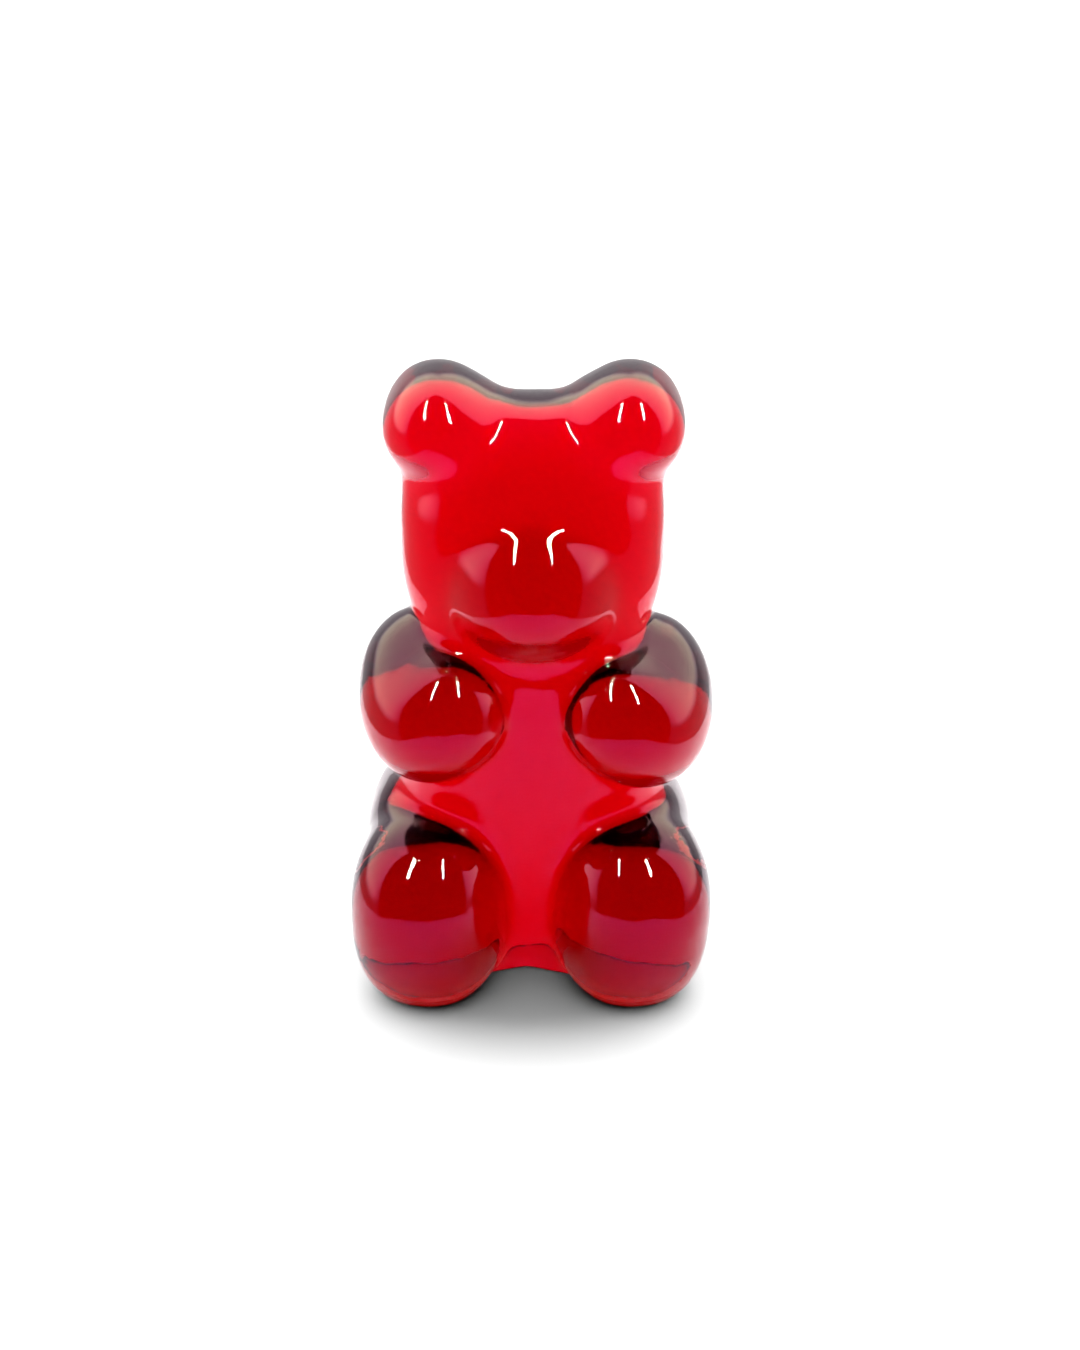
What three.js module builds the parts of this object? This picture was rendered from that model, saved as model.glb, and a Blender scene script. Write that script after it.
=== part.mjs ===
// A cast clear-resin copy of a gummy bear: one solid that stands on its flat base and faces -Y.
// Millimetres, +Z up. The form is a rounded field: pebbles that melt into each other, cut flat
// at the back and at the base, and then turned into one closed mesh.
import * as THREE from "three";

// Driving dimensions. A pebble is a rounded lump: its middle, its half sizes in X, Y and Z, how
// square it is in plan (2 is an ellipse) and how square it rises. Some are tipped forwards, lean
// outwards or are turned outwards, in degrees.
const torso = { at: [-0.4, 3.5, 43], half: [27.6, 20.5, 46.5], plan: 2.7, rise: 2.8, tip: 8 };
const head = { at: [-0.3, 5.5, 96.4], half: [27.2, 20.2, 27.5], plan: 2.6, rise: 2.9 };
const snout = { at: [-0.2, -7.5, 88.8], half: [17.2, 18, 15], plan: 2, rise: 2.3, tip: -12 };
const ear = { at: [18.3, 9, 117.4], half: [12.8, 18, 11.8], plan: 2.5, rise: 2.1, lean: 30 };
const hip = { at: [15.2, 6, 17.5], half: [20.6, 20, 27], plan: 2.8, rise: 2.7 };
const upperArm = { at: [22.6, -5, 63.7], half: [13.8, 20, 14.4], plan: 2.1, rise: 2.1, tip: 22 };
const paw = { at: [18.6, -16.5, 63], half: [13.6, 13, 12], plan: 2, rise: 2.2, lean: -35 };
const leg = { at: [20.7, -10.5, 17.5], half: [16.5, 22.3, 21], plan: 2.3, rise: 2.5, tip: 8, turn: 12 };

// The two sides differ a little, as in any hand-finished casting: shifts in mm, leans in degrees.
const leftSide = {
  side: -1, armOut: 0, armUp: 0.5, armLean: 0, hipOut: 0.7, hipUp: 0, legOut: 0.8, legLean: 0,
};
const rightSide = {
  side: 1, armOut: 0.8, armUp: -1.2, armLean: 13, hipOut: -0.7, hipUp: -2, legOut: -0.6, legLean: -3,
};

// How far each joint between two lumps is filled.
const earFill = 7;
const neckFill = 8;
const snoutFill = 6;
const hipFill = 7;
const pawFill = 8;
const armFill = 3;
const legFill = 4;

// The flat back leans away a little: its place at the floor, and how far back it goes for each mm up.
const backPlane = 16;
const backSlope = 0.026;
const backRound = 5;
const baseRound = 0.4;

// The flat of the brow: how steep it is in degrees, how far from the origin, and the radius of its
// slight bend from side to side.
const browSlope = 42;
const browDistance = 93;
const browBend = 28;
const browRound = 9;

const cell = 3.3; // grid step of the mesh
const room = { low: [-46, -44, -5], high: [46, 28, 140] }; // the space that the mesh is looked for in

// Two coordinates seen in axes that are turned by an angle in degrees.
function turned(first, second, degrees) {
  const angle = THREE.MathUtils.degToRad(degrees);
  return [
    Math.cos(angle) * first + Math.sin(angle) * second,
    Math.cos(angle) * second - Math.sin(angle) * first,
  ];
}

// Depth of a point in a pebble, close to a true distance in mm: negative inside.
function pebble(point, shape, side = 1, outwards = 0, upwards = 0, lean = shape.lean ?? 0) {
  let x = point[0] - side * (shape.at[0] + outwards);
  let y = point[1] - shape.at[1];
  let z = point[2] - shape.at[2] - upwards;
  [x, y] = turned(x, y, side * (shape.turn ?? 0));
  [y, z] = turned(y, z, shape.tip ?? 0);
  [x, z] = turned(x, z, side * lean);
  const [ax, ay, az] = [x, y, z].map((value, i) => Math.abs(value) / shape.half[i] + 1e-9);
  const n = shape.plan;
  const m = shape.rise;
  const ring = (ax ** n + ay ** n) ** (1 / n);
  const size = (ring ** m + az ** m) ** (1 / m);
  const share = (ring / size) ** (m - 1);
  const slope = Math.hypot(
    (share * (ax / ring) ** (n - 1)) / shape.half[0],
    (share * (ay / ring) ** (n - 1)) / shape.half[1],
    (az / size) ** (m - 1) / shape.half[2],
  );
  return (size - 1) / slope;
}

// Two lumps melted together: the smaller depth, with the crease between them filled.
function melt(a, b, fill) {
  const overlap = Math.max(fill - Math.abs(a - b), 0) / fill;
  return Math.min(a, b) - (overlap ** 3 * fill) / 6;
}

// What is left of a lump behind a plane, with the edge rounded.
function trim(lump, plane, round) {
  return -melt(-lump, -plane, round);
}

// Depth of a point in the whole bear.
function bear(point) {
  const sides = [leftSide, rightSide];
  let body = pebble(point, torso);
  for (const { side, hipOut, hipUp } of sides)
    body = melt(body, pebble(point, hip, side, hipOut, hipUp), hipFill);
  const [, rise] = turned(point[1], point[2], browSlope);
  const inFront = rise - browDistance + point[0] ** 2 / (2 * browBend);
  let top = trim(pebble(point, head), inFront, browRound);
  for (const { side } of sides) top = melt(top, pebble(point, ear, side), earFill);
  body = melt(body, top, neckFill);
  body = melt(body, pebble(point, snout), snoutFill);
  for (const { side, armOut, armUp, armLean, legOut, legLean } of sides) {
    const shoulder = pebble(point, upperArm, side, armOut, armUp, armLean);
    const hand = pebble(point, paw, side, armOut / 2, armUp / 2);
    body = melt(body, melt(shoulder, hand, pawFill), armFill);
    body = melt(body, pebble(point, leg, side, legOut, 0, legLean), legFill);
  }
  const behind = point[1] - backPlane - backSlope * point[2];
  return trim(trim(body, behind, backRound), -point[2], baseRound);
}

// The direction in which the depth changes fastest, with its rate.
function slopeAt(point) {
  const step = 0.05;
  return [0, 1, 2].map((axis) => {
    const ahead = [...point];
    const behind = [...point];
    ahead[axis] += step;
    behind[axis] -= step;
    return (bear(ahead) - bear(behind)) / (2 * step);
  });
}

// Moves a point that is near the surface onto it.
function settle(point) {
  let at = point;
  for (let round = 0; round < 4; round++) {
    const slope = slopeAt(at);
    const share = bear(at) / (slope[0] ** 2 + slope[1] ** 2 + slope[2] ** 2);
    at = at.map((value, axis) => value - share * slope[axis]);
  }
  return at;
}

// A net of four-sided faces over the surface: one knot in each grid cell that the surface
// crosses, and one face round each grid edge that it crosses.
function castNet() {
  const count = [0, 1, 2].map((axis) => Math.ceil((room.high[axis] - room.low[axis]) / cell) + 1);
  const number = (i, j, k) => (i * count[1] + j) * count[2] + k;
  const place = (i, j, k) => [i, j, k].map((index, axis) => room.low[axis] + index * cell);
  const depth = new Float64Array(count[0] * count[1] * count[2]);
  for (let i = 0; i < count[0]; i++)
    for (let j = 0; j < count[1]; j++)
      for (let k = 0; k < count[2]; k++) depth[number(i, j, k)] = bear(place(i, j, k));

  const knotOf = new Map();
  const knots = [];
  for (let i = 0; i < count[0] - 1; i++)
    for (let j = 0; j < count[1] - 1; j++)
      for (let k = 0; k < count[2] - 1; k++) {
        const crossings = crossingsOf([i, j, k], place, (a) => depth[number(...a)]);
        if (!crossings.length) continue;
        const sum = (axis) => crossings.reduce((total, crossing) => total + crossing[axis], 0);
        const middle = [0, 1, 2].map((axis) => sum(axis) / crossings.length);
        knotOf.set(number(i, j, k), knots.length);
        knots.push(settle(middle));
      }

  const faces = [];
  for (let i = 1; i < count[0] - 1; i++)
    for (let j = 1; j < count[1] - 1; j++)
      for (let k = 1; k < count[2] - 1; k++)
        for (let axis = 0; axis < 3; axis++) {
          const step = [0, 1, 2].map((other) => Number(other === axis));
          const here = depth[number(i, j, k)] < 0;
          const there = depth[number(i + step[0], j + step[1], k + step[2])] < 0;
          if (here === there) continue;
          const across = [(axis + 1) % 3, (axis + 2) % 3];
          const round = [[1, 1], [0, 1], [0, 0], [1, 0]].map(([first, second]) => {
            const corner = [i, j, k];
            corner[across[0]] -= first;
            corner[across[1]] -= second;
            return knotOf.get(number(...corner));
          });
          faces.push(here ? round : round.reverse());
        }
  return { knots, faces };
}

// Where the surface crosses the twelve edges of one grid cell.
function crossingsOf(corner, place, depthAt) {
  const found = [];
  for (let axis = 0; axis < 3; axis++)
    for (const first of [0, 1])
      for (const second of [0, 1]) {
        const from = [...corner];
        from[(axis + 1) % 3] += first;
        from[(axis + 2) % 3] += second;
        const to = [...from];
        to[axis] += 1;
        const a = depthAt(from);
        const b = depthAt(to);
        if (a < 0 === b < 0) continue;
        const point = place(...from);
        point[axis] += (cell * a) / (a - b);
        found.push(point);
      }
  return found;
}

// Evens out the net: each knot moves half way to the middle of its neighbours, then settles.
function relax({ knots, faces }, rounds) {
  let placed = knots;
  for (let round = 0; round < rounds; round++) {
    const sums = placed.map(() => [0, 0, 0, 0]);
    for (const face of faces)
      face.forEach((knot, corner) => {
        const next = face[(corner + 1) % 4];
        for (const [own, other] of [[knot, next], [next, knot]]) {
          placed[other].forEach((value, axis) => (sums[own][axis] += value));
          sums[own][3] += 1;
        }
      });
    placed = placed.map((point, knot) =>
      settle(point.map((value, axis) => (value + sums[knot][axis] / sums[knot][3]) / 2)),
    );
  }
  return placed;
}

// The closed mesh: each face split along its shorter diagonal, standing on Z = 0 with the middle
// of its box over the origin.
function bearGeometry() {
  const net = castNet();
  const knots = relax(net, 4);
  const gap = (a, b) => Math.hypot(...knots[a].map((value, axis) => value - knots[b][axis]));
  const triangles = net.faces.flatMap(([a, b, c, d]) =>
    gap(a, c) < gap(b, d) ? [a, b, c, a, c, d] : [b, c, d, b, d, a],
  );
  const geometry = new THREE.BufferGeometry();
  geometry.setAttribute("position", new THREE.Float32BufferAttribute(knots.flat(), 3));
  geometry.setIndex(triangles);
  geometry.computeBoundingBox();
  const { min, max } = geometry.boundingBox;
  geometry.translate(-(min.x + max.x) / 2, -(min.y + max.y) / 2, -min.z);
  geometry.computeVertexNormals();
  return geometry;
}

const clearRed = new THREE.MeshStandardMaterial({
  color: 0xc8102e,
  roughness: 0.04,
  metalness: 0,
  transparent: true,
  opacity: 0.85,
});

const part = new THREE.Group();
const solid = new THREE.Mesh(bearGeometry(), clearRed);
solid.name = "bear";
part.add(solid);

export default part;
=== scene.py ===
import math
import bmesh
import bpy
from mathutils import Matrix, Vector


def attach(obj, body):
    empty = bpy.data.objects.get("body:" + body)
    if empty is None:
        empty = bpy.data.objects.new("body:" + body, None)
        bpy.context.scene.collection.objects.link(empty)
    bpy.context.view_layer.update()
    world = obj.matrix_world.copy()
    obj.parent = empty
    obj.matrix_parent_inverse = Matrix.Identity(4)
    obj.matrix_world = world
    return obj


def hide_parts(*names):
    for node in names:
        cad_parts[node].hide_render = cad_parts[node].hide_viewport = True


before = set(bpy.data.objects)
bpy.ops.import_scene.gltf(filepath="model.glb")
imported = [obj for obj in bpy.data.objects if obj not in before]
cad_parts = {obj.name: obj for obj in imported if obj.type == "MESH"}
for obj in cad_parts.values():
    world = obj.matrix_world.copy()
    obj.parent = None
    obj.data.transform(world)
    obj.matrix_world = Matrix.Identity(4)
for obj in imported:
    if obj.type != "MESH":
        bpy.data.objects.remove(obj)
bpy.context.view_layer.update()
mm = 0.001
metre = 1 / mm  # in mm
degree = math.pi / 180
print("frame loaded")


# a node tree and the one method that makes its nodes
class Tree:
    def __init__(self, nodeTree):
        self.nodeTree = nodeTree

    # settings come first, then each socket gets a value or the wire that feeds it
    def make(self, kind, settings=None, sockets=None, out=0):
        node = self.nodeTree.nodes.new(kind)
        for name, value in (settings or {}).items():
            setattr(node, name, value)
        for key, value in (sockets or {}).items():
            self.feed(node.inputs[key], value)
        return Wire(self, node.outputs[out])

    def feed(self, socket, value):
        if isinstance(value, Wire):
            self.nodeTree.links.new(value.socket, socket)
        else:
            socket.default_value = value

    def vector(self, x, y, z):
        return self.make("ShaderNodeCombineXYZ", None, {0: x, 1: y, 2: z})


# a socket that does arithmetic: an expression on it adds Math or Vector Math nodes
class Wire:
    def __init__(self, tree, socket):
        self.tree = tree
        self.socket = socket
        self.isVector = socket.type == "VECTOR"

    def math(self, operation, *values):
        if any(isinstance(value, Wire) and value.isVector for value in values):
            kind = "ShaderNodeVectorMath"
            values = [(value,) * 3 if isinstance(value, (int, float)) else value for value in values]
        else:
            kind = "ShaderNodeMath"
        return self.tree.make(kind, {"operation": operation}, dict(enumerate(values)))

    def __add__(self, other):
        return self.math("ADD", self, other)

    def __radd__(self, other):
        return self.math("ADD", other, self)

    def __sub__(self, other):
        return self.math("SUBTRACT", self, other)

    def __rsub__(self, other):
        return self.math("SUBTRACT", other, self)

    def __mul__(self, other):
        return self.math("MULTIPLY", self, other)

    def __rmul__(self, other):
        return self.math("MULTIPLY", other, self)

    def __truediv__(self, other):
        return self.math("DIVIDE", self, other)

    def __rtruediv__(self, other):
        return self.math("DIVIDE", other, self)

    def __pow__(self, other):
        return self.math("POWER", self, other)

    def __neg__(self):
        return self.math("MULTIPLY", self, -1)

    def __abs__(self):
        return self.math("ABSOLUTE", self)

    def least(self, other):
        return self.math("MINIMUM", self, other)

    def most(self, other):
        return self.math("MAXIMUM", self, other)

    def length(self):
        return self.tree.make("ShaderNodeVectorMath", {"operation": "LENGTH"}, {0: self}, "Value")

    def dot(self, other):
        settings = {"operation": "DOT_PRODUCT"}
        return self.tree.make("ShaderNodeVectorMath", settings, {0: self, 1: other}, "Value")

    def parts(self):
        split = self.tree.make("ShaderNodeSeparateXYZ", None, {0: self}).socket.node
        return [Wire(self.tree, socket) for socket in split.outputs]

    # 0 below low, 1 above high, smooth between them
    def ramp(self, low, high):
        settings = {"interpolation_type": "SMOOTHSTEP"}
        return self.tree.make("ShaderNodeMapRange", settings, {0: self, 1: low, 2: high})


# a geometry node group with named inputs, as its tree and a wire for each input
def newGroup(name, inputs, outputs):
    group = bpy.data.node_groups.new(name, "GeometryNodeTree")
    for direction, sockets in (("INPUT", inputs), ("OUTPUT", outputs)):
        for label, kind in sockets.items():
            group.interface.new_socket(label, in_out=direction, socket_type="NodeSocket" + kind)
    tree = Tree(group)
    entry = group.nodes.new("NodeGroupInput")
    return tree, {label: Wire(tree, entry.outputs[label]) for label in inputs}


def finishGroup(tree, results):
    end = tree.nodeTree.nodes.new("NodeGroupOutput")
    for label, wire in results.items():
        tree.feed(end.inputs[label], wire)
    return tree.nodeTree


# runs a tree on an object with the given named inputs, and leaves its result as a plain mesh
def grow(name, mesh, group, values):
    host = bpy.data.objects.new(name, mesh)
    bpy.context.scene.collection.objects.link(host)
    modifier = host.modifiers.new(name, "NODES")
    modifier.node_group = group
    for item in group.interface.items_tree:
        if item.in_out == "INPUT" and item.name in values:
            modifier[item.identifier] = values[item.name]
    graph = bpy.context.evaluated_depsgraph_get()
    made = bpy.data.meshes.new_from_object(host.evaluated_get(graph), depsgraph=graph)
    host.modifiers.remove(modifier)
    host.data = made
    made.name = name
    return host


# the bear in mm: each lump has its middle, its half sizes, how square it is in plan and how
# square it rises, and some have a tip forwards, a lean or a turn outwards in degrees. The right
# and left sides differ a little. "fill" is how far each crease is filled; the flat back leans
# away by its slope, and the flat of the brow bends a little from side to side. The form is looked
# for in "room", which reaches below the floor, so that the mesh is closed before it is cut there
bear = {
    "lumps": {
        "torso": {"middle": (-0.4, 3.5, 43), "half": (27.6, 20.5, 46.5), "plan": 2.7, "rise": 2.8},
        "head": {"middle": (-0.3, 5.5, 96.4), "half": (27.2, 20.2, 27.5), "plan": 2.6, "rise": 2.9},
        "snout": {"middle": (-0.2, -7.5, 88.8), "half": (17.2, 18, 15), "plan": 2, "rise": 2.3},
        "ear": {"middle": (18.3, 9, 117.4), "half": (12.8, 18, 11.8), "plan": 2.5, "rise": 2.1},
        "hip": {"middle": (15.2, 6, 17.5), "half": (20.6, 20, 27), "plan": 2.8, "rise": 2.7},
        "arm": {"middle": (22.6, -5, 63.7), "half": (13.8, 20, 14.4), "plan": 2.1, "rise": 2.1},
        "paw": {"middle": (18.6, -16.5, 63), "half": (13.6, 13, 12), "plan": 2, "rise": 2.2},
        "leg": {"middle": (20.7, -10.5, 17.5), "half": (16.5, 22.3, 21), "plan": 2.3, "rise": 2.5},
    },
    "tip": {"torso": 8, "snout": -12, "arm": 22, "leg": 8},
    "lean": {"ear": 30, "paw": -35},
    "turn": {"leg": 12},
    "left": {"arm shift": (0, 0, 0.5), "arm lean": 0, "hip shift": (0.7, 0, 0),
             "leg shift": (0.8, 0, 0), "leg lean": 0},
    "right": {"arm shift": (0.8, 0, -1.2), "arm lean": 13, "hip shift": (-0.7, 0, -2),
              "leg shift": (-0.6, 0, 0), "leg lean": -3},
    "fill": {"ear": 7, "neck": 8, "snout": 6, "hip": 7, "paw": 8, "arm": 3, "leg": 4},
    "back": {"plane": 16, "slope": 0.026, "round": 5},
    "brow": {"slope": 42, "distance": 93, "bend": 28, "round": 9},
    "room": {"low": (-46, -44, -13), "high": (46, 28, 140)},
    "mesh": {"cell": 0.8, "rounds": 3},
    "lumpiness": {"height": 0.12, "size": 9, "seed": 3},
    "lift": 0.3,
}
sides = [("left", -1), ("right", 1)]


# one rounded lump: its depth is negative inside, and close to a true distance in mm
def pebbleGroup():
    tree, own = newGroup("pebble", {
        "Point": "Vector", "Middle": "Vector", "Half": "Vector", "Plan": "Float", "Rise": "Float",
        "Turn": "Float", "Tip": "Float", "Lean": "Float",
    }, {"Out": "Float"})
    tiny = 1e-6  # keeps the powers clear of zero
    place = own["Point"] - own["Middle"]
    for axis, label, way in (("Z", "Turn", -1), ("X", "Tip", -1), ("Y", "Lean", 1)):
        place = tree.make("ShaderNodeVectorRotate", {"rotation_type": axis + "_AXIS"},
                          {"Vector": place, "Angle": own[label] * (way * degree)})
    ax, ay, az = (abs(place) / own["Half"] + tiny).parts()
    hx, hy, hz = own["Half"].parts()
    n, m = own["Plan"], own["Rise"]
    ring = (ax ** n + ay ** n) ** (1 / n)
    size = (ring ** m + az ** m) ** (1 / m)
    share = (ring / size) ** (m - 1)
    slope = tree.vector(share * (ax / ring) ** (n - 1) / hx,
                        share * (ay / ring) ** (n - 1) / hy,
                        (az / size) ** (m - 1) / hz)
    return finishGroup(tree, {"Out": (size - 1) / slope.length()})


# two lumps melted together, with the crease between them filled by a cubic
def melt(a, b, fill):
    overlap = (fill - abs(a - b)).most(0) / fill
    return a.least(b) - overlap ** 3 * fill / 6


# what is left of a lump behind a plane, with the edge rounded
def trim(lump, plane, edge):
    return -melt(-lump, -plane, edge)


# every size of the bear as a named input of its trees
def bearSizes():
    sizes = {}
    for lump, size in bear["lumps"].items():
        for key, value in size.items():
            sizes[f"{lump} {key}"] = value
    for name, _ in sides:
        for key, value in bear[name].items():
            sizes[f"{name} {key}"] = value
    for key, value in bear["fill"].items():
        sizes[f"{key} fill"] = value
    for way in ("tip", "lean", "turn"):
        for key, value in bear[way].items():
            sizes[f"{key} {way}"] = value
    for flat in ("back", "brow"):
        for key, value in bear[flat].items():
            sizes[f"{flat} {key}"] = value
    return sizes


def socketKinds(sizes):
    return {label: "Vector" if isinstance(value, tuple) else "Float" for label, value in sizes.items()}


# depth of a point in the whole bear
def bearGroup(sizes):
    inputs = {"Point": "Vector", **socketKinds(sizes)}
    tree, own = newGroup("bear depth", inputs, {"Out": "Float"})
    pebble = pebbleGroup()
    point = own["Point"]

    def lump(name, side=1, shift=None, lean=0, tip=0, turn=0):
        middle = own[name + " middle"]
        if shift is not None:
            middle = middle + shift
        if side < 0:
            middle = middle * (-1, 1, 1)
        return tree.make("GeometryNodeGroup", {"node_tree": pebble}, {
            "Point": point, "Middle": middle, "Half": own[name + " half"],
            "Plan": own[name + " plan"], "Rise": own[name + " rise"],
            "Turn": turn * side, "Tip": tip, "Lean": lean * side,
        })

    body = lump("torso", tip=own["torso tip"])
    for name, side in sides:
        body = melt(body, lump("hip", side, own[name + " hip shift"]), own["hip fill"])
    across, depth, height = point.parts()
    tilt = own["brow slope"] * degree
    rise = height * tilt.math("COSINE", tilt) - depth * tilt.math("SINE", tilt)
    inFront = rise - own["brow distance"] + across * across / (own["brow bend"] * 2)
    top = trim(lump("head"), inFront, own["brow round"])
    for name, side in sides:
        top = melt(top, lump("ear", side, None, own["ear lean"]), own["ear fill"])
    body = melt(body, top, own["neck fill"])
    body = melt(body, lump("snout", tip=own["snout tip"]), own["snout fill"])
    for name, side in sides:
        shift = own[name + " arm shift"]
        shoulder = lump("arm", side, shift, own[name + " arm lean"], own["arm tip"])
        hand = lump("paw", side, shift * 0.5, own["paw lean"])
        body = melt(body, melt(shoulder, hand, own["paw fill"]), own["arm fill"])
        foot = lump("leg", side, own[name + " leg shift"], own[name + " leg lean"], own["leg tip"],
                    own["leg turn"])
        body = melt(body, foot, own["leg fill"])
    behind = depth - own["back plane"] - height * own["back slope"]
    return finishGroup(tree, {"Out": trim(body, behind, own["back round"])})


# the surface of the bear: a block of depths turned into a mesh, whose points then even out
# and settle on the true surface, with the slight lumpiness of a hand-polished casting
def bearTree(sizes):
    tree, own = newGroup("bear form", {
        **socketKinds(sizes),
        "room low": "Vector", "room high": "Vector", "cell": "Float",
        "lumpiness height": "Float", "lumpiness size": "Float", "lumpiness seed": "Float",
        "material": "Material",
    }, {"Geometry": "Geometry"})
    depthGroup = bearGroup(sizes)
    place = tree.make("GeometryNodeInputPosition")

    def depthAt(point):
        wires = {label: own[label] for label in sizes}
        return tree.make("GeometryNodeGroup", {"node_tree": depthGroup}, {"Point": point, **wires})

    def moved(geometry, offset):
        return tree.make("GeometryNodeSetPosition", None, {"Geometry": geometry, "Offset": offset})

    def settled(geometry):
        step = 0.05  # mm
        point = place * metre
        here = depthAt(point)
        slope = tree.vector(*[depthAt(point + ahead) - here
                              for ahead in ((step, 0, 0), (0, step, 0), (0, 0, step))]) / step
        return moved(geometry, slope * (here / slope.dot(slope)) * -mm)

    def evened(geometry):
        mean = tree.make("GeometryNodeBlurAttribute", {"data_type": "FLOAT_VECTOR"},
                         {"Value": place, "Iterations": 1})
        return tree.make("GeometryNodeSetPosition", None, {"Geometry": geometry, "Position": mean})

    low, high, cell = own["room low"], own["room high"], own["cell"]
    steps = ((high - low) / cell).parts()
    surface = 0.5  # density on the surface
    block = tree.make("GeometryNodeVolumeCube", None, {
        "Density": surface - depthAt(place * metre) / cell, "Min": low * mm, "Max": high * mm,
        "Resolution X": steps[0] + 1, "Resolution Y": steps[1] + 1, "Resolution Z": steps[2] + 1,
    })
    shape = tree.make("GeometryNodeVolumeToMesh", {"resolution_mode": "GRID"},
                      {"Volume": block, "Threshold": surface})
    shape = settled(settled(shape))
    for _ in range(bear["mesh"]["rounds"]):
        shape = settled(evened(shape))
    shape = settled(shape)
    bump = tree.make("ShaderNodeTexNoise", {"noise_dimensions": "4D"}, {
        "Vector": place, "W": own["lumpiness seed"],
        "Scale": metre / own["lumpiness size"], "Detail": 1.0,
    })
    normal = tree.make("GeometryNodeInputNormal")
    shape = moved(shape, normal * ((bump - 0.5) * own["lumpiness height"] * 2 * mm))
    bounds = tree.make("GeometryNodeBoundBox", None, {"Geometry": shape}).socket.node
    lowest = Wire(tree, bounds.outputs["Min"])
    highest = Wire(tree, bounds.outputs["Max"])
    shape = moved(shape, (lowest + highest) * (-0.5, -0.5, 0))
    shape = tree.make("GeometryNodeSetShadeSmooth", None, {"Geometry": shape})
    shape = tree.make("GeometryNodeRealizeInstances", None, {"Geometry": shape})
    shape = tree.make("GeometryNodeSetMaterial", None,
                      {"Geometry": shape, "Material": own["material"]})
    return finishGroup(tree, {"Geometry": shape})


# clear red casting resin: the colour is in its depth, and the surface mirrors and bends light. The
# ripple is in mm, and comes in with the height above the base, from "none" to "whole"
resin = {
    "absorption": (30, 430, 210),  # per metre, in red, green and blue
    "bend": 1.5,
    "mirror tint": (1, 0.1, 0.55, 1),
    "ripple": {"size": 4, "height": 0.03, "none": 0.6, "whole": 5},
}


def resinMaterial():
    material = bpy.data.materials.new("clearRedResin")
    material.use_nodes = True
    tree = Tree(material.node_tree)
    shader = material.node_tree.nodes["Principled BSDF"]
    output = material.node_tree.nodes["Material Output"]
    values = {
        "Base Color": (1, 1, 1, 1), "Roughness": 0, "IOR": resin["bend"],
        "Transmission Weight": 1, "Specular Tint": resin["mirror tint"],
    }
    for name, value in values.items():
        shader.inputs[name].default_value = value
    densest = max(resin["absorption"])
    clear = [1 - share / densest for share in resin["absorption"]]
    depthColour = tree.make("ShaderNodeVolumeAbsorption", None,
                            {"Color": (*clear, 1), "Density": densest})
    tree.feed(output.inputs["Volume"], depthColour)
    ripple = resin["ripple"]
    point = tree.make("ShaderNodeTexCoord", out="Object")
    waves = tree.make("ShaderNodeTexNoise", None,
                      {"Vector": point, "Scale": 1 / (ripple["size"] * mm), "Detail": 2.0})
    height = point.parts()[2]
    free = height.ramp(ripple["none"] * mm, ripple["whole"] * mm)
    relief = tree.make("ShaderNodeBump", None,
                       {"Strength": 1.0, "Distance": ripple["height"] * mm, "Height": waves * free})
    tree.feed(shader.inputs["Normal"], relief)
    return material


# cuts the body off flat at the floor with a crisp edge, and lifts it a hair clear of the floor
def standOnBase(mesh, lift):
    shape = bmesh.new()
    shape.from_mesh(mesh)
    cut = bmesh.ops.bisect_plane(shape, geom=[*shape.verts, *shape.edges, *shape.faces],
                                 plane_co=(0, 0, 0), plane_no=(0, 0, -1), clear_outer=True)
    rim = [piece for piece in cut["geom_cut"] if isinstance(piece, bmesh.types.BMEdge)]
    base = bmesh.ops.holes_fill(shape, edges=rim, sides=0)["faces"]
    for face in base:
        face.smooth = False
    bmesh.ops.triangulate(shape, faces=base)
    bmesh.ops.translate(shape, verts=shape.verts, vec=(0, 0, lift))
    shape.to_mesh(mesh)
    shape.free()


sizes = bearSizes()
resinLook = resinMaterial()
solid = grow("bearResin", bpy.data.meshes.new("start"), bearTree(sizes), {
    **sizes,
    "room low": bear["room"]["low"],
    "room high": bear["room"]["high"],
    "cell": bear["mesh"]["cell"],
    "lumpiness height": bear["lumpiness"]["height"],
    "lumpiness size": bear["lumpiness"]["size"],
    "lumpiness seed": float(bear["lumpiness"]["seed"]),
    "material": resinLook,
})
standOnBase(solid.data, bear["lift"] * mm)
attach(solid, "root")
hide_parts("bear")
print("bear cast:", len(solid.data.polygons), "faces")


# the floor in metres, in three strips; mirrored rays see only the middle one
floor = {"strip": 0.16, "side": 1.5, "front": 0.3, "back": 1.5, "colour": (0.9, 0.9, 0.9, 1)}


def plainMaterial(name, colour):
    material = bpy.data.materials.new(name)
    material.use_nodes = True
    shader = material.node_tree.nodes["Principled BSDF"]
    shader.inputs["Base Color"].default_value = colour
    shader.inputs["Roughness"].default_value = 1
    shader.inputs["Specular IOR Level"].default_value = 0
    return material


def makeFloor():
    paint = plainMaterial("paleFloor", floor["colour"])
    strip, side, front, back = (floor[key] for key in ("strip", "side", "front", "back"))
    strips = {"floor": (-strip, strip), "floorLeft": (-side, -strip), "floorRight": (strip, side)}
    for name, (left, right) in strips.items():
        mesh = bpy.data.meshes.new(name)
        mesh.from_pydata([(left, -front, 0), (right, -front, 0), (right, back, 0), (left, back, 0)],
                         [], [(0, 1, 2, 3)])
        mesh.materials.append(paint)
        table = bpy.data.objects.new(name, mesh)
        bpy.context.scene.collection.objects.link(table)
        table.visible_glossy = name == "floor"


makeFloor()
print("floor laid")


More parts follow.
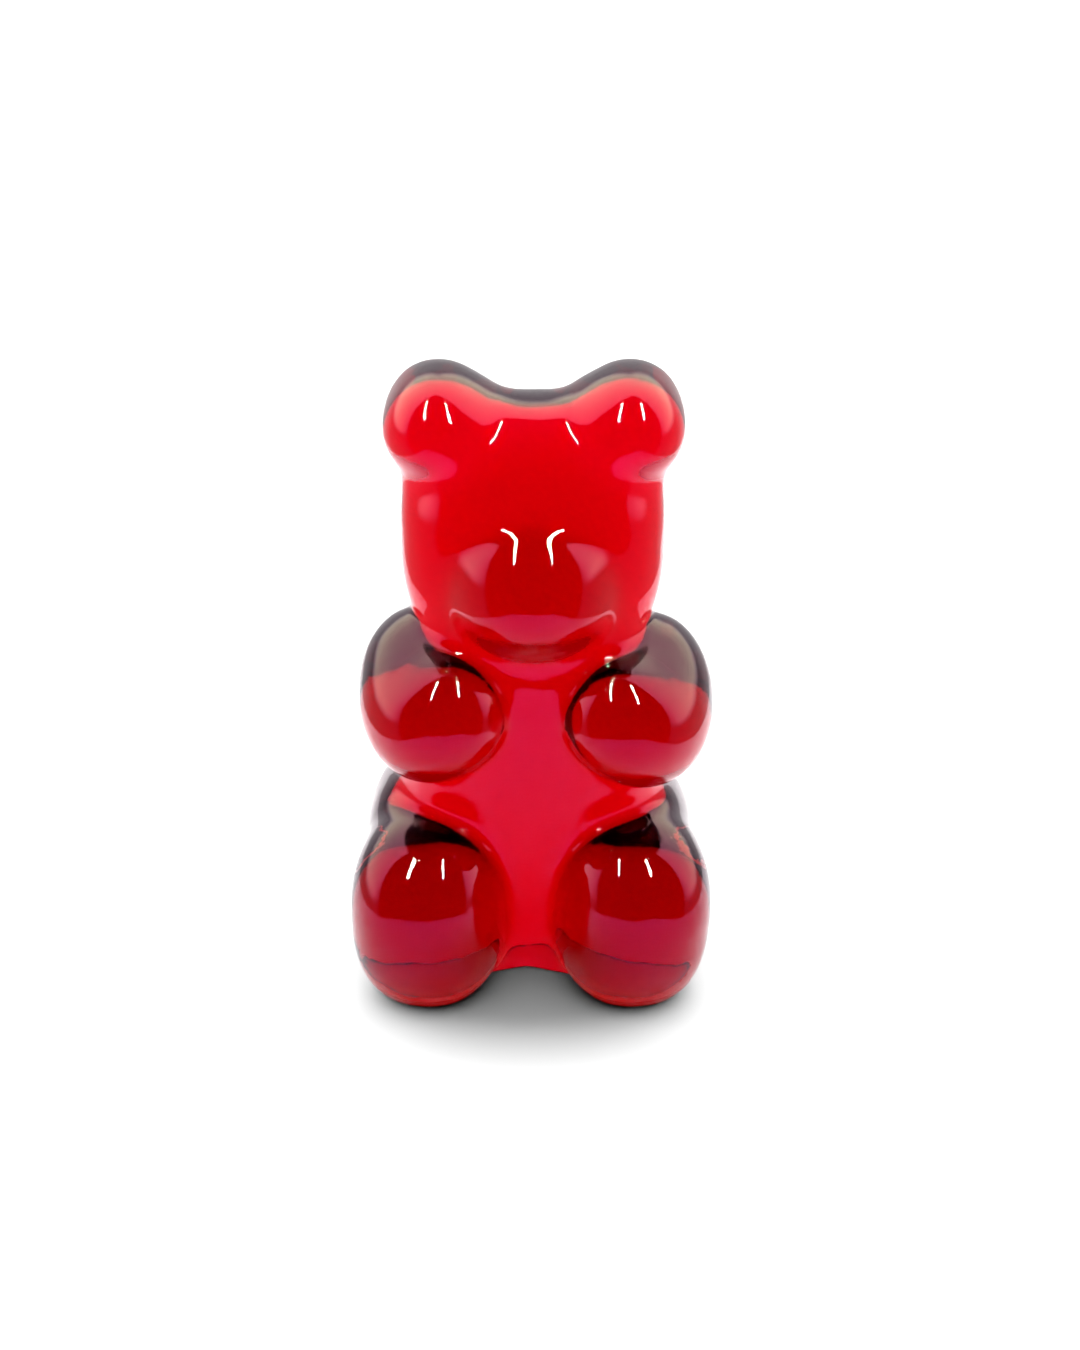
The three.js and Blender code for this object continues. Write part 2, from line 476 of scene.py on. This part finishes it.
# a room with a dark opening that runs from the front to past overhead. Its brightness in mirrored
# rays is "high" on the upper walls beside and behind, "low" near the horizon and "back low" there
# behind; "through" is what shows through the resin. The pairs say where each part comes in
lightBox = {
    "width": 3, "past overhead": 0.3, "edge": 0.3, "seam": 0.02, "least ahead": 0.001,
    "upper": (0.9, 1.3), "beside": (-0.4, 0.1), "behind": (0.5, 0.9), "below": (0, 0.1),
    "opening": 0.02, "low": 0.35, "back low": 0.9, "high": 4.2, "through": 1.3,
    "wall colour": (0.85, 1, 0.65),
}
# lamps: two bright bars that only reflections show, and two soft lamps that only light the floor.
# The bars are green, so that the mirror tint of the resin turns them white
bar = {"width": 0.03, "radiance": 900, "colour": (0.1, 1, 0.18), "shown": "glossy"}
soft = {"colour": (1, 1, 1), "shown": "diffuse"}
lamps = {
    "barLeft": {"from": (-0.26, -0.32, 0.56), "to": (-0.18, 0.04, 0.74), **bar},
    "barRight": {"from": (0.26, -0.32, 0.56), "to": (0.18, 0.04, 0.74), **bar},
    "frontSoft": {"from": (0, -0.6, 0.8), "to": (0, 0.05, 1.1), "width": 1, "radiance": 1.8, **soft},
    "backSoft": {"from": (0, 0.6, 0.35), "to": (0, 0.5, 0.7), "width": 0.8, "radiance": 1, **soft},
}
lampAim = Vector((0, 0, 60 * mm))


def makeRoom():
    world = bpy.data.worlds.new("room")
    world.use_nodes = True
    bpy.context.scene.world = world
    tree = Tree(world.node_tree)
    background = world.node_tree.nodes["Background"]
    across, depth, height = tree.make("ShaderNodeTexCoord", out="Generated").parts()
    ahead = (height * lightBox["past overhead"] - depth).most(lightBox["least ahead"])
    wide, edge, dark = lightBox["width"], lightBox["edge"], lightBox["opening"]
    wall = ((abs(across) + lightBox["seam"]) / ahead).ramp(wide - edge, wide + edge)
    lit = (height * 2 + abs(across)).ramp(*lightBox["upper"]) * depth.ramp(*lightBox["beside"])
    behind = depth.ramp(*lightBox["behind"])
    low = lightBox["low"] + behind * (lightBox["back low"] - lightBox["low"])
    mirrored = dark + wall * (low + lit * (lightBox["high"] - low) - dark)
    below = (-height).ramp(*lightBox["below"])
    above = dark + wall * (lightBox["through"] - dark)
    passed = above + below * (1 - above)
    # the camera itself sees a white backdrop
    straight = tree.make("ShaderNodeLightPath", out="Is Camera Ray")
    through = tree.make("ShaderNodeLightPath", out="Is Transmission Ray")
    seen = mirrored + through * (passed - mirrored)
    tree.feed(background.inputs["Strength"], seen + straight * (1 - seen))
    tinted = tree.make("ShaderNodeLightPath", out="Is Glossy Ray") * lit
    white = tree.vector(1, 1, 1)
    wallColour = tree.vector(*lightBox["wall colour"])
    tree.feed(background.inputs["Color"], white + (wallColour - white) * tinted)


def makeLamps():
    for name, lamp in lamps.items():
        low, high = Vector(lamp["from"]), Vector(lamp["to"])
        light = bpy.data.lights.new(name, "AREA")
        light.shape = "RECTANGLE"
        light.size = lamp["width"]
        light.size_y = (high - low).length
        light.energy = lamp["radiance"] * math.pi * light.size * light.size_y
        light.color = lamp["colour"]
        holder = bpy.data.objects.new(name, light)
        bpy.context.scene.collection.objects.link(holder)
        middle = (low + high) / 2
        out = (middle - lampAim).normalized()
        up = (high - low - (high - low).dot(out) * out).normalized()
        holder.matrix_world = Matrix((up.cross(out), up, out)).transposed().to_4x4()
        holder.location = middle
        for ray in ("camera", "diffuse", "glossy", "transmission"):
            setattr(holder, "visible_" + ray, ray == lamp["shown"])


makeRoom()
makeLamps()
print("room lit")


# "pixel" is the size of one at the target, and "middle" the pixel that the target shows at; the
# elevation is in degrees and the film in mm
camera = {
    "elevation": 25, "distance": 0.6, "target": (0, 3 * mm, 62 * mm), "pixel": 0.2085 * mm,
    "picture": (1080, 1350), "middle": (531, 697), "film": 36, "near": 0.01,
}


def makeCamera():
    lens = bpy.data.cameras.new("camera")
    wide, tall = camera["picture"]
    across, down = camera["middle"]
    lens.sensor_width = camera["film"]
    lens.lens = camera["film"] * camera["distance"] / camera["pixel"] / tall
    lens.shift_x = (wide / 2 - across) / tall
    lens.shift_y = (down - tall / 2) / tall
    lens.clip_start = camera["near"]
    holder = bpy.data.objects.new("camera", lens)
    bpy.context.scene.collection.objects.link(holder)
    tilt = math.radians(camera["elevation"])
    away = Vector((0, -math.cos(tilt), math.sin(tilt)))
    holder.location = Vector(camera["target"]) + away * camera["distance"]
    holder.rotation_euler = (math.pi / 2 - tilt, 0, 0)
    bpy.context.scene.camera = holder


makeCamera()
print("camera placed")

scene = bpy.context.scene
scene.view_settings.view_transform = "Standard"
cycles = {
    "max_bounces": 24, "transmission_bounces": 24, "glossy_bounces": 16, "diffuse_bounces": 3,
    "caustics_refractive": False, "caustics_reflective": False, "sample_clamp_indirect": 0,
    "blur_glossy": 0, "use_denoising": True,
}
for name, value in cycles.items():
    setattr(scene.cycles, name, value)
